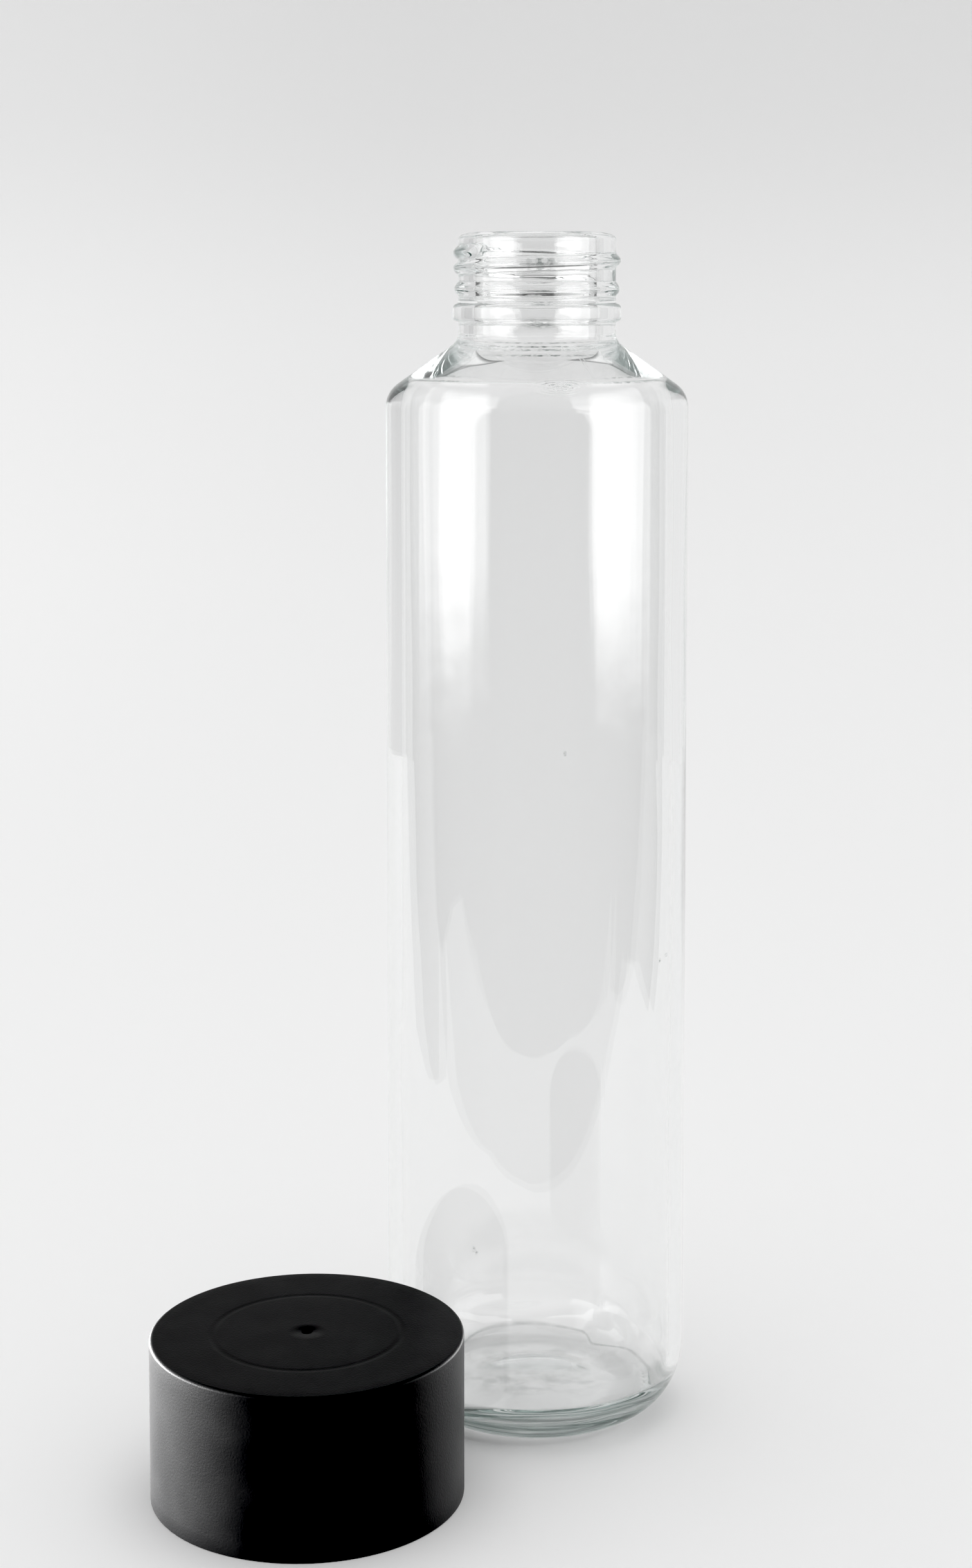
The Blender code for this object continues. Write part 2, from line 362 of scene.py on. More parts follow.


# Painted shade darkens the glass's colour in a line along the crease round the floor; chill marks on the
# floor darken it a little.
def floorCreaseShadeAndChill(tree, place, angle, far, z):
    settled = times(tree, floorLobes(tree, angle), bottleTurning["Settle Depth"])
    outline = plus(tree, settled, bottle["floorRadius"] + glassLook["lineShift"])
    line = times(tree, nearness(tree, far, outline, glassLook["lineHalf"]), glassLook["lineLoss"])
    patchy = remap(tree, noise(tree, place, glassLook["lineScale"], 3.0), 0.3, 0.6, 0.5, 1.0)
    line = times(tree, line, patchy)
    chill = noise(tree, place, glassLook["chillScale"], 4.0)
    marks = remap(tree, chill, 0.42, 0.7, 0.0, glassLook["chillLoss"])
    inner = remap(tree, far, glassLook["chillRadius"], glassLook["chillRadius"] * 0.5)
    level = nearness(tree, z, bottle["floorEdgeZ"] + 1 * mm, 3 * mm)
    return times(tree, plus(tree, line, times(tree, marks, inner)), level)


# Painted shade: dark lines painted into the heel's front glass, above a ring of small dark dashes painted
# where the stipple ring nears the table.
def heelPaintedShade(tree, place, angle, far, behind, z):
    patchy = noise(tree, place, glassLook["heelScale"], 4.0, (1.0, 1.0, 8.0))
    total = 0.0
    for height, halfHeight, loss in glassLook["heelShadeLines"]:
        bend = times(tree, minus(tree, patchy, 0.5), halfHeight)
        line = nearness(tree, plus(tree, z, bend), height, halfHeight)
        total = plus(tree, total, times(tree, line, loss))
    lines = times(tree, total, remap(tree, patchy, 0.35, 0.6, 0.85, 1.0))
    # Only the outer face carries them: it lies beyond a line that leans out between both faces.
    beyond = minus(tree, far, times(tree, z, glassLook["heelLean"]))
    lines = times(tree, lines, remap(tree, beyond, glassLook["heelFrom"], glassLook["heelFrom"] + 1 * mm))
    dashes = calc(tree, "SINE", times(tree, calc(tree, "RADIANS", angle), bottleTurning["Stipple Count"]))
    ring = nearness(tree, far, glassLook["dashRadius"], glassLook["dashHalf"])
    ring = times(tree, ring, remap(tree, dashes, -0.5, 0.5))
    ring = times(tree, ring, calc(tree, "LESS_THAN", z, glassLook["dashTop"]), glassLook["dashLoss"])
    return times(tree, plus(tree, lines, ring), remap(tree, behind, *glassLook["heelFade"]))


# Dark marks painted into the front of the glass, in millimetres: x from the axis, z, half width, half
# height and loss. The lines are painted shade and the specks are real.
frontShadeAndSpecks = [
    # Painted shade: dark lines across the front of the neck.
    (0.6, 241.8, 5.0, 0.45, 0.55),
    (0.8, 236.4, 5.2, 0.4, 0.5),
    (0.6, 233.7, 4.8, 0.4, 0.5),
    (0.2, 229.9, 4.8, 1.5, 0.45),
    # Specks on the body.
    (4.9, 144.6, 0.45, 0.5, 0.7),
    (24.9, 99.8, 0.4, 0.6, 0.5),
    (-12.7, 41.9, 0.5, 0.9, 0.4),
    # Painted shade: ragged dark lines at the throat and at the shoulder's edge.
    (0.2, 225.2, 16.0, 0.3, 0.6),
    (1.0, 223.5, 17.0, 0.35, 0.6),
    (18.0, 218.2, 9.0, 0.3, 0.5),
    (-18.5, 218.4, 8.0, 0.3, 0.45),
]


def frontShadeAndSpecksLoss(tree, place, across, behind, z):
    rough = noise(tree, place, glassLook["markScale"], 3.0, (1.0, 1.0, 3.0))
    total = 0.0
    for x, height, halfWidth, halfHeight, loss in frontShadeAndSpecks:
        wide = nearness(tree, across, x * mm, halfWidth * mm)
        spot = times(tree, wide, nearness(tree, z, height * mm, halfHeight * mm))
        total = plus(tree, total, times(tree, spot, loss))
    ragged = times(tree, total, remap(tree, rough, 0.4, 0.6, 0.3, 1.6))
    # They are painted only on the front half, towards the viewer.
    return times(tree, ragged, calc(tree, "LESS_THAN", behind, 0.0))


# The height of fine forms: waves in the blown wall, two mould seams and a drip's rings on the shoulder.
def surfaceHeight(tree, place, across, behind, z, angle):
    wave = noise(tree, place, glassLook["waveScale"], 2.0, (1.0, 1.0, 0.25))
    height = times(tree, wave, glassLook["waviness"])
    for turn in (glassLook["seamTurn"], glassLook["seamTurn"] - 180.0):
        seam = nearness(tree, angleBetween(tree, angle, turn), 0.0, glassLook["seamHalf"])
        height = plus(tree, height, times(tree, seam, glassLook["seamHeight"]))
    aside = minus(tree, across, glassLook["dripX"])
    above = times(tree, minus(tree, z, glassLook["dripZ"]), glassLook["dripSquash"])
    reach = diagonal(tree, aside, above)
    rings = calc(tree, "COSINE", times(tree, reach, 2 * math.pi / glassLook["dripRing"]))
    fading = remap(tree, reach, glassLook["dripRadius"], 0.0)
    fading = times(tree, fading, calc(tree, "LESS_THAN", behind, 0.0))
    return plus(tree, height, times(tree, rings, fading, glassLook["dripHeight"]))


def clearGlass():
    material, tree, shader, output = newMaterial("Clear glass")
    shader.inputs["Metallic"].default_value = 0.0
    shader.inputs["Transmission Weight"].default_value = 1.0
    shader.inputs["IOR"].default_value = glassLook["ior"]
    place = objectPlace(tree)
    haze = noise(tree, place, glassLook["hazeScale"], 3.0)
    tree.links.new(remap(tree, haze, 0.45, 0.75, 0.0, glassLook["haze"]), shader.inputs["Roughness"])
    x, y, z = splitXyz(tree, place)
    centreX, centreY, _ = axisOf("bottle")
    across, behind = minus(tree, x, centreX), minus(tree, y, centreY)
    angle = calc(tree, "DEGREES", calc(tree, "ARCTAN2", behind, across))
    far = diagonal(tree, across, behind)
    floorCreaseShadeAndChillLost = floorCreaseShadeAndChill(tree, place, angle, far, z)
    frontShadeAndSpecksLost = frontShadeAndSpecksLoss(tree, place, across, behind, z)
    shadedAndMarked = plus(tree, floorCreaseShadeAndChillLost, frontShadeAndSpecksLost, heelPaintedShade(tree, place, angle, far, behind, z))
    # The base colour darkens the glass with painted shade at the crease, the heel and the front lines, and
    # with the chill marks and specks.
    kept = []
    for part in glassLook["shadeAndMarkTint"]:
        kept.append(calc(tree, "SUBTRACT", 1.0, times(tree, shadedAndMarked, part), clamp=True))
    tree.links.new(joinXyz(tree, *kept), shader.inputs["Base Color"])
    height = surfaceHeight(tree, place, across, behind, z, angle)
    bump = addNode(tree, "ShaderNodeBump", {"Height": height, "Distance": 1.0, "Strength": 1.0})
    tree.links.new(bump.outputs[0], shader.inputs["Normal"])
    sockets = {"Color": glassLook["tint"], "Density": glassLook["absorption"]}
    volume = addNode(tree, "ShaderNodeVolumeAbsorption", sockets)
    tree.links.new(volume.outputs[0], output.inputs["Volume"])
    return material


plasticLook = {
    "black": (0.0035, 0.0035, 0.0038, 1.0),
    "worn": (0.006, 0.006, 0.0063, 1.0),
    "ior": 1.49,
    "gloss": (0.48, 0.51),
    "specular": 0.15,
    "cloudScale": 120.0,
    "grainScale": 2600.0,
    "grain": 0.03 * mm,
}


def satinPlastic():
    material, tree, shader, _ = newMaterial("Satin black plastic")
    place = objectPlace(tree)
    cloud = noise(tree, place, plasticLook["cloudScale"], 5.0)
    grain = noise(tree, place, plasticLook["grainScale"], 2.0)
    tree.links.new(remap(tree, cloud, 0.35, 0.7, *plasticLook["gloss"]), shader.inputs["Roughness"])
    # Sockets 6 and 7 of a colour mix are its two colours, and output 2 is the mixed one.
    sockets = {"Factor": remap(tree, cloud, 0.4, 0.8), 6: plasticLook["black"], 7: plasticLook["worn"]}
    mix = addNode(tree, "ShaderNodeMix", sockets, data_type="RGBA")
    tree.links.new(mix.outputs[2], shader.inputs["Base Color"])
    shader.inputs["IOR"].default_value = plasticLook["ior"]
    shader.inputs["Specular IOR Level"].default_value = plasticLook["specular"]
    sockets = {"Height": grain, "Distance": plasticLook["grain"], "Strength": 1.0}
    bump = addNode(tree, "ShaderNodeBump", sockets)
    tree.links.new(bump.outputs[0], shader.inputs["Normal"])
    return material


# The bottle.

bottle = {
    "height": 248.5 * mm,
    "bodyRadius": 31.5 * mm,
    "neckRadius": 16.4 * mm,
    "wall": 3.1 * mm,
    "lipInnerRound": 0.6 * mm,
    "lipOuterRound": 1.2 * mm,
    "lipLandFall": 0.4 * mm,
    "shoulderSlope": 35.3,
    "shoulderCorner": 6.0 * mm,
    "shoulderCornerZ": 212.3 * mm,
    "throatRound": 3.3 * mm,
    "innerSlope": 31.0,
    "innerCorner": 6.0 * mm,
    "innerCornerZ": 212.6 * mm,
    "innerThroatRound": 3.0 * mm,
    "heelWidth": 11.0 * mm,
    "heelHeight": 14.1 * mm,
    "bearingWidth": 2.0 * mm,
    "puntHeight": 1.2 * mm,
    "floorEdgeZ": 4.8 * mm,
    "floorCentreZ": 5.2 * mm,
    "floorRadius": 24.8 * mm,
    "floorCrease": 0.8 * mm,
    "floorRise": 20.0,
    "floorDimple": 0.3,
    "ringZ": 236.8 * mm,
    "ringRadius": 17.15 * mm,
    "ringHalf": 1.5 * mm,
    "beadTopZ": 233.8 * mm,
    "beadBottomZ": 230.0 * mm,
    "beadRadius": 17.5 * mm,
    "beadRound": 1.0 * mm,
    "beadFoot": 0.2 * mm,
    "wallStep": 5.0 * mm,
    "coneStep": 1.6 * mm,
    "throatStep": 0.5 * mm,
    "neckStep": 0.35 * mm,
    "threadStep": 0.22 * mm,
}

bottleTurning = {
    "Axis": axisOf("bottle"),
    "Columns": 240,
    "Thread Pitch": 25.4 / 8 * mm,
    "Thread Height": 1.0 * mm,
    "Thread Half Width": 1.5 * mm,
    "Thread Top": 244.77 * mm,
    "Thread Start": 235.0,
    "Thread Sweep": 595.0,
    "Thread Fade": 45.0,
    "Ripple Size": 22.0 * mm,
    "Ripple Stretch": 0.35,
    "Ripple Depth": 0.5 * mm,
    "Wrinkle Size": 1.1 * mm,
    "Wrinkle Squeeze": 0.12,
    "Wrinkle Depth": 0.035 * mm,
    "Settle Depth": 4.5 * mm,
    "Settle Drop": 0.15,
    "Stipple Count": 90.0,
    "Stipple Height": 0.012 * mm,
    "Seed": 7.0,
}


# A shoulder's rows from its neck to its wall: a throat round, a cone and a corner round.
def shoulderRows(neckR, wallR, throat, corner, cornerZ, slope, **shares):
    tilt, turn = math.radians(slope), 90 - slope
    cornerR, throatR = wallR - corner, neckR + throat
    # The cone touches both rounds, so the throat's height follows from it.
    reach = corner + throat - (throatR - cornerR) * math.sin(tilt)
    throatZ = cornerZ + reach / math.cos(tilt)
    upper = roundRows(throatR, throatZ, throat, 180, 180 + turn, 6, **shares)
    lower = roundRows(cornerR, cornerZ, corner, turn, 0, 6, **shares)
    return upper + straightRows(upper[-1], lower[0], bottle["coneStep"], **shares) + lower


def lipRows():
    bore = bottle["neckRadius"] - bottle["wall"]
    inner, outer = bottle["lipInnerRound"], bottle["lipOuterRound"]
    rows = roundRows(bore + inner, bottle["height"] - inner, inner, 180, 80, 14)
    outerZ = bottle["height"] - bottle["lipLandFall"] - outer
    return rows + roundRows(bottle["neckRadius"] - outer, outerZ, outer, 72, 0, 14)


def ringRows():
    neck, ringZ, half = bottle["neckRadius"], bottle["ringZ"], bottle["ringHalf"]
    rise = bottle["ringRadius"] - neck
    rows = []
    for i in range(17):
        part = i / 8 - 1
        rows.append((neck + rise * (1 - part * part) ** beadPower, ringZ - half * part, {}))
    return rows


def beadRows():
    neck, top, bottom = bottle["neckRadius"], bottle["beadTopZ"], bottle["beadBottomZ"]
    turned, roundR = bottle["beadRound"], bottle["beadRadius"] - bottle["beadRound"]
    rows = [(neck, top + bottle["beadFoot"], {})]
    rows += roundRows(roundR, top - turned, turned, 80, 0, 10)
    rows += roundRows(roundR, bottom + turned, turned, 0, -80, 10)
    return rows + [(neck, bottom - bottle["beadFoot"], {})]


def baseRows():
    outer = bottle["bodyRadius"] - bottle["heelWidth"]
    inner = outer - bottle["bearingWidth"]
    heel = (outer, bottle["heelHeight"], bottle["heelWidth"], bottle["heelHeight"])
    rows = arcRows(*heel, 0, -64, 4)
    rows += arcRows(*heel, -67, -76, 1.5, stippled=1.0)
    rows += arcRows(*heel, -79, -90, 3)
    # The punt swells smoothly, so that no edge shows through the floor.
    for i in range(1, 17):
        part = i / 16
        z = bottle["puntHeight"] * (0.5 - 0.5 * math.cos(math.pi * part))
        rows.append((inner * (1 - part), z, {}))
    return rows


# The inside of the base: a nearly flat floor, a tight crease, and a long curve up into the wall.
def floorRows():
    innerBody = bottle["bodyRadius"] - bottle["wall"]
    edgeZ, edgeR, centreZ = bottle["floorEdgeZ"], bottle["floorRadius"], bottle["floorCentreZ"]
    crease, rise, dimple = bottle["floorCrease"], bottle["floorRise"], bottle["floorDimple"]
    rows = [(0, centreZ, {"dimpled": dimple})]
    for i in range(1, 13):
        part = i / 13
        shares = {"settled": part ** 4, "dimpled": dimple}
        rows.append((edgeR * part, centreZ + (edgeZ - centreZ) * part * part, shares))
    rows += roundRows(edgeR, edgeZ + crease, crease, -90, rise - 90, 9, settled=1.0)
    startR, startZ, _ = rows[-1]
    left = math.radians(90 - rise)
    curve = (innerBody - startR) / (1 - math.cos(left))
    bend = roundRows(innerBody - curve, startZ + curve * math.sin(left), curve, rise - 90, 0, 4)[1:]
    for i, (r, z, _) in enumerate(bend):
        rows.append((r, z, {"settled": 1 - (i + 1) / len(bend)}))
    return rows


def bottleRows():
    neckR, bodyR, wall = bottle["neckRadius"], bottle["bodyRadius"], bottle["wall"]
    form = [bottle[name] for name in ("innerThroatRound", "innerCorner", "innerCornerZ", "innerSlope")]
    inner = shoulderRows(neckR - wall, bodyR - wall, *form, rippled=1.0)[::-1]
    form = [bottle[name] for name in ("throatRound", "shoulderCorner", "shoulderCornerZ", "shoulderSlope")]
    outer = shoulderRows(neckR, bodyR, *form)
    floor, lip, ring, bead, base = floorRows(), lipRows(), ringRows(), beadRows(), baseRows()
    inside = floor + straightRows(floor[-1], inner[0], bottle["wallStep"], rippled=1.0) + inner
    inside += straightRows(inner[-1], lip[0], bottle["neckStep"], rippled=0.25, wrinkled=1.0) + lip
    finish = straightRows(lip[-1], ring[0], bottle["threadStep"], threaded=1.0) + ring + bead
    finish += straightRows(bead[-1], outer[0], bottle["throatStep"])
    body = outer + straightRows(outer[-1], base[0], bottle["wallStep"], rippled=0.06)
    return inside + finish + body + base


def makeBottle():
    piece = sectionPiece("glassBottle", bottleRows())
    runTree(piece, turningTree(clearGlass(), bottleTurning), bottleTurning)
    return piece


# The cap.

cap = {
    "height": 32.0 * mm,
    "radius": 31.0 * mm,
    "wall": 1.7 * mm,
    "top": 2.0 * mm,
    "edgeRound": 0.7 * mm,
    "footRound": 0.25 * mm,
    "innerRound": 1.2 * mm,
    "sinkDepth": 0.06 * mm,
    "sinkHalf": 1.1 * mm,
    "gateRadius": 1.2 * mm,
    "gateDepth": 0.45 * mm,
    "collarRadius": 17.9 * mm,
    "collarWall": 1.5 * mm,
    "collarDepth": 17.0 * mm,
    "collarThreadDrop": 4.5 * mm,
    "step": 3.0 * mm,
    "innerStep": 4.0 * mm,
    "threadStep": 0.3 * mm,
}

capTurning = dict(bottleTurning)
capTurning.update({
    "Axis": axisOf("cap"),
    "Columns": 192,
    "Thread Height": -1.15 * mm,
    "Thread Half Width": 1.3 * mm,
    "Thread Top": cap["height"] - cap["top"] - cap["collarThreadDrop"],
})


# The top's rows from its middle: the gate's dimple, a flat stretch and the sink ring over the collar.
def topRows():
    height, gateR, gateDepth = cap["height"], cap["gateRadius"], cap["gateDepth"]
    sinkR, half = cap["collarRadius"] + cap["collarWall"] / 2, cap["sinkHalf"]
    rows = [(0, height - gateDepth * 0.6, {})]
    for i in range(1, 9):
        part = i / 8
        rows.append((gateR * part, height - gateDepth * math.sin(math.pi * (0.22 + 0.78 * part)), {}))
    rows += straightRows(rows[-1], (sinkR - half, height), cap["step"])
    for i in range(13):
        part = i / 6 - 1
        sink = cap["sinkDepth"] * (0.5 + 0.5 * math.cos(math.pi * part))
        rows.append((sinkR + half * part, height - sink, {}))
    return rows


# The collar's rows from the outside of its root, round its foot and up inside to the middle.
def collarRows():
    inner, top = cap["collarRadius"], cap["height"] - cap["top"]
    outer, foot = inner + cap["collarWall"], top - cap["collarDepth"]
    corners = [(r, z, {}) for r, z in ((outer, top), (outer, foot), (inner, foot), (inner, top), (0, top))]
    rows = corners[:1] + straightRows(corners[0], corners[1], cap["step"]) + corners[1:3]
    rows += straightRows(corners[2], corners[3], cap["threadStep"], threaded=1.0) + corners[3:4]
    return rows + straightRows(corners[3], corners[4], cap["step"]) + corners[4:]


def capRows():
    height, radius, edge, small = cap["height"], cap["radius"], cap["edgeRound"], cap["footRound"]
    rows = topRows()
    rim = roundRows(radius - edge, height - edge, edge, 90, 0, 9)
    rows += straightRows(rows[-1], rim[0], cap["step"]) + rim
    foot = roundRows(radius - small, small, small, 0, -90, 30)
    rows += straightRows(rim[-1], foot[0], cap["step"]) + foot
    innerWall, innerTop, innerRound = radius - cap["wall"], height - cap["top"], cap["innerRound"]
    foot = roundRows(innerWall + small, small, small, -90, -180, 30)
    crown = roundRows(innerWall - innerRound, innerTop - innerRound, innerRound, 0, 90, 15)
    return rows + foot + straightRows(foot[-1], crown[0], cap["innerStep"]) + crown + collarRows()


def makeCap():
    piece = sectionPiece("screwCap", capRows())
    runTree(piece, turningTree(satinPlastic(), capTurning), capTurning)
    return piece


# The camera, as the photograph was taken.

cameraPlace = {
    "at": (9.46 * mm, -524.81 * mm, 238.08 * mm),
    "downTilt": 4.77,
    "rightTurn": 0.288,
    "lens": 60.26,
    "sensorWidth": 36.0,
    "shiftY": -0.18,
}


def makeCamera():
    data = bpy.data.cameras.new("Camera")
    data.lens = cameraPlace["lens"]
    data.sensor_width = cameraPlace["sensorWidth"]
    data.shift_y = cameraPlace["shiftY"]
    camera = bpy.data.objects.new("Camera", data)
    camera.location = cameraPlace["at"]
    tilt, turn = math.radians(90 - cameraPlace["downTilt"]), math.radians(-cameraPlace["rightTurn"])
    camera.rotation_euler = (tilt, 0, turn)
    bpy.context.scene.collection.objects.link(camera)
    bpy.context.scene.camera = camera
    print("camera placed")


# The studio: a pale round floor that sweeps up into a wall, cards and soft boxes.

studio = {
    "floorSteps": 96,
    "floorRadius": 1.3,
    "sweepRadius": 0.8,
    "wallHeight": 0.85,
    # The paper's colour low and high; the grey at the top is painted shade.
    "paperLow": 0.86,
    "paperHigh": 0.7,
    "paperRoughness": 0.9,
    "glowNear": 0.04,
    "glowFar": 0.11,
    "glowHigh": 0.06,
    "glowFrom": 0.35,
    "glowTo": 1.5,
    "duskFrom": 0.17,
    "duskTo": 0.42,
    "glowLeft": -0.5,
    "glowMore": 0.05,
    "topPower": 12.0,
    "topSize": 1.6,
    "topZ": 1.9,
    "sky": 0.7,
    "skyGlass": 1.0,
    "skySeen": 0.8,
    "gapLow": 15.0,
    "gapHigh": 22.0,
    "gapHalfAngle": 65.0,
    "gapGlow": 0.1,
}


def stagePiece(name, points, faces, material):
    mesh = bpy.data.meshes.new(name)
    mesh.from_pydata(points, [], faces)
    mesh.materials.append(material)
    piece = bpy.data.objects.new(name, mesh)
    bpy.context.scene.collection.objects.link(piece)
    return piece


# The points and faces of an outline of (radius, height) turned about an upright line.
def turnedSheet(centreX, centreY, outline, steps):
    points = []
    for r, z in outline:
        for i in range(steps):
            angle = 2 * math.pi * i / steps
            points.append((centreX + r * math.cos(angle), centreY + r * math.sin(angle), z))
    faces = []
    for start in range(0, (len(outline) - 1) * steps, steps):
        for i in range(steps):
            j = (i + 1) % steps
            faces.append((start + i, start + steps + i, start + steps + j, start + j))
    return points, faces


def makeFloor():
    material, tree, shader, _ = newMaterial("Pale paper")
    shader.inputs["Roughness"].default_value = studio["paperRoughness"]
    shader.inputs["Specular IOR Level"].default_value = 0.0
    # Painted shade: the paper's colour greys towards the top of the wall.
    x, y, height = splitXyz(tree, objectPlace(tree))
    ends = studio["paperLow"], studio["paperHigh"]
    pale = remap(tree, height, 0.0, studio["wallHeight"], *ends, smooth=False)
    tree.links.new(joinXyz(tree, pale, pale, pale), shader.inputs["Base Color"])
    # Its own glow makes up for the light's fall-off, most on the left.
    far = diagonal(tree, x, y)
    low = remap(tree, far, studio["glowFrom"], studio["glowTo"], studio["glowNear"], studio["glowFar"])
    glow = remap(tree, height, studio["duskFrom"], studio["duskTo"], low, studio["glowHigh"])
    glow = plus(tree, glow, remap(tree, x, studio["glowLeft"], 0.0, studio["glowMore"], 0.0))
    shader.inputs["Emission Color"].default_value = (1.0, 1.0, 1.0, 1.0)
    tree.links.new(glow, shader.inputs["Emission Strength"])
    flat, sweep = studio["floorRadius"], studio["sweepRadius"]
    outline = [(flat * i / 12, 0.0) for i in range(1, 13)]
    for degrees in range(6, 91, 6):
        rise = math.radians(degrees)
        outline.append((flat + sweep * math.sin(rise), sweep - sweep * math.cos(rise)))
    outline.append((flat + sweep, studio["wallHeight"]))
    steps = studio["floorSteps"]
    points, faces = turnedSheet(0.0, 0.0, outline, steps)
    points.append((0.0, 0.0, 0.0))
    faces += [(len(points) - 1, i, (i + 1) % steps) for i in range(steps)]
    floor = stagePiece("paleFloor", points, faces, material)
    for face in floor.data.polygons:
        face.use_smooth = True
    print("floor made")


# A card that only mirrored light sees, also after it has left the glass again.
def mirroredMaterial(name):
    material = bpy.data.materials.new(name)
    material.use_nodes = True
    tree = material.node_tree
    tree.nodes.remove(tree.nodes["Principled BSDF"])
    glow = addNode(tree, "ShaderNodeEmission")
    clear = addNode(tree, "ShaderNodeBsdfTransparent")
    depth = addNode(tree, "ShaderNodeLightPath").outputs["Glossy Depth"]
    mirrored = calc(tree, "GREATER_THAN", depth, 0.5)
    mix = addNode(tree, "ShaderNodeMixShader", {0: mirrored, 1: clear.outputs[0], 2: glow.outputs[0]})
    tree.links.new(mix.outputs[0], tree.nodes["Material Output"].inputs["Surface"])
    return material, tree, glow.inputs["Strength"]


def seenOnlyBy(piece, *kinds):
    for kind in ("camera", "diffuse", "glossy", "transmission", "volume_scatter", "shadow"):
        setattr(piece, "visible_" + kind, kind in kinds)


def areaLight(name, place, target, size, power):
    data = bpy.data.lights.new(name, "AREA")
    data.shape = "RECTANGLE"
    data.size, data.size_y = size
    data.energy = power
    light = bpy.data.objects.new(name, data)
    light.location = place
    aim = Vector(target) - Vector(place)
    light.rotation_euler = aim.to_track_quat("-Z", "Y").to_euler()
    light.visible_camera = False
    bpy.context.scene.collection.objects.link(light)
    return light


# A point round an upright axis. Angles are in degrees from the side that faces the viewer, and grow
# to the left.
def pointRound(axis, turn, distance):
    angle = math.radians(turn)
    return axis[0] - distance * math.sin(angle), axis[1] - distance * math.cos(angle)


# Windows lower than the cap's top draw a broad sheen on its left side and a faint one on its right.
# Each has its angle, its size and its power.
capSheen = {
    "distance": 0.7,
    "height": 0.015,
    "left": (110.0, (1.2, 0.028), 62.0),
    "right": (-125.0, (0.6, 0.028), 8.0),
}


def makeCapSheen(piece):
    lit = bpy.data.collections.new("Lit by cap sheen")
    lit.objects.link(piece)
    axis = axisOf("cap")
    target = (*axis[:2], capSheen["height"])
    for side in ("left", "right"):
        turn, size, power = capSheen[side]
        place = (*pointRound(axis, turn, capSheen["distance"]), capSheen["height"])
        light = areaLight(side + "Sheen", place, target, size, power)
        light.light_linking.receiver_collection = lit
    print("cap's sheen lit")


def makeLights():
    world = bpy.data.worlds.new("Soft sky")
    world.use_nodes = True
    tree = world.node_tree
    # Behind the paper wall the room is dark up to the lights, as the threads show.
    x, y, z = splitXyz(tree, addNode(tree, "ShaderNodeTexCoord").outputs["Generated"])
    up = calc(tree, "DEGREES", calc(tree, "ARCSINE", z))
    away = calc(tree, "ABSOLUTE", calc(tree, "DEGREES", calc(tree, "ARCTAN2", x, y)))
    rising = remap(tree, up, studio["gapLow"] - 2.0, studio["gapLow"] + 2.0)
    falling = remap(tree, up, studio["gapHigh"] - 4.0, studio["gapHigh"] + 4.0, 1.0, 0.0)
    side = studio["gapHalfAngle"]
    gap = times(tree, rising, falling, remap(tree, away, side - 8.0, side + 8.0, 1.0, 0.0))
    path = addNode(tree, "ShaderNodeLightPath").outputs
    glassy = calc(tree, "MAXIMUM", path["Is Glossy Ray"], path["Is Transmission Ray"])
    sky = remap(tree, glassy, 0.0, 1.0, studio["sky"], studio["skyGlass"], smooth=False)
    sky = remap(tree, gap, 0.0, 1.0, sky, studio["gapGlow"], smooth=False)
    strength = remap(tree, path["Is Camera Ray"], 0.0, 1.0, sky, studio["skySeen"], smooth=False)
    background = tree.nodes["Background"].inputs
    background["Color"].default_value = (1.0, 1.0, 1.0, 1.0)
    tree.links.new(strength, background["Strength"])
    bpy.context.scene.world = world
    size = (studio["topSize"], studio["topSize"])
    areaLight("Top light", (0, 0, studio["topZ"]), (0, 0, 0), size, studio["topPower"])
    print("lights placed")


# What gloss and glass mirror: a dim room with two tall soft boxes, and paper that ends near the bottle.
room = {
    "radius": 0.8,
    "leftEnd": 118.0,
    "rightEnd": -111.0,
    "sideEnd": 158.0,
    "leftSide": (0.76, 0.66),
    "rightSide": (0.84, 0.82),
    "height": 0.92,
    "dim": 0.1,
    "paleFrom": 0.28,
    "paleTo": 0.6,
    "paleGlow": 0.35,
    "paleTurn": 85.0,
    "paleSoft": 30.0,
    "backGlow": 0.9,
    # A box: its side, its inner edge low down and high up, its outer edge and its strength.
    "boxes": ((1.0, 52.0, 35.0, 84.0, 2.6), (1.0, 84.0, 84.0, 99.8, 1.6), (-1.0, 44.0, 28.0, 92.1, 2.6)),
    "widerFrom": 0.17,
    "widerTo": 0.25,
    "blotAngle": 20.0,
    "blotHeight": 14.0 * mm,
    "boxFootLow": 0.0,
    "boxFootHigh": 0.118,
    "footRagged": 0.07,
    "boxTopFrom": 0.4,
    "boxTopTo": 0.7,
    "boxTopGlow": 0.15,
    "softEdge": 1.5,
    "steps": 56,
    "sideSteps": 8,
    "ceilingZ": 0.95,
    "ceilingRadius": 2.4,
    "tableReach": 1.5,
    "tableZ": 1.0 * mm,
}

# The paper's torn and curled edge in millimetres from the bottle, from the back left round the front.
paperEdge = [
    (-900, 480), (-491, 195), (-387, 116), (-309, 64), (-266, -13), (-262, -62), (-435, -90),
    (-249, -101), (-121, -174), (-38, -186), (44, -184), (150, -178), (262, -170),
    (390, -140), (400, -60), (330, 40), (380, 85), (576, 193), (805, 268),
]


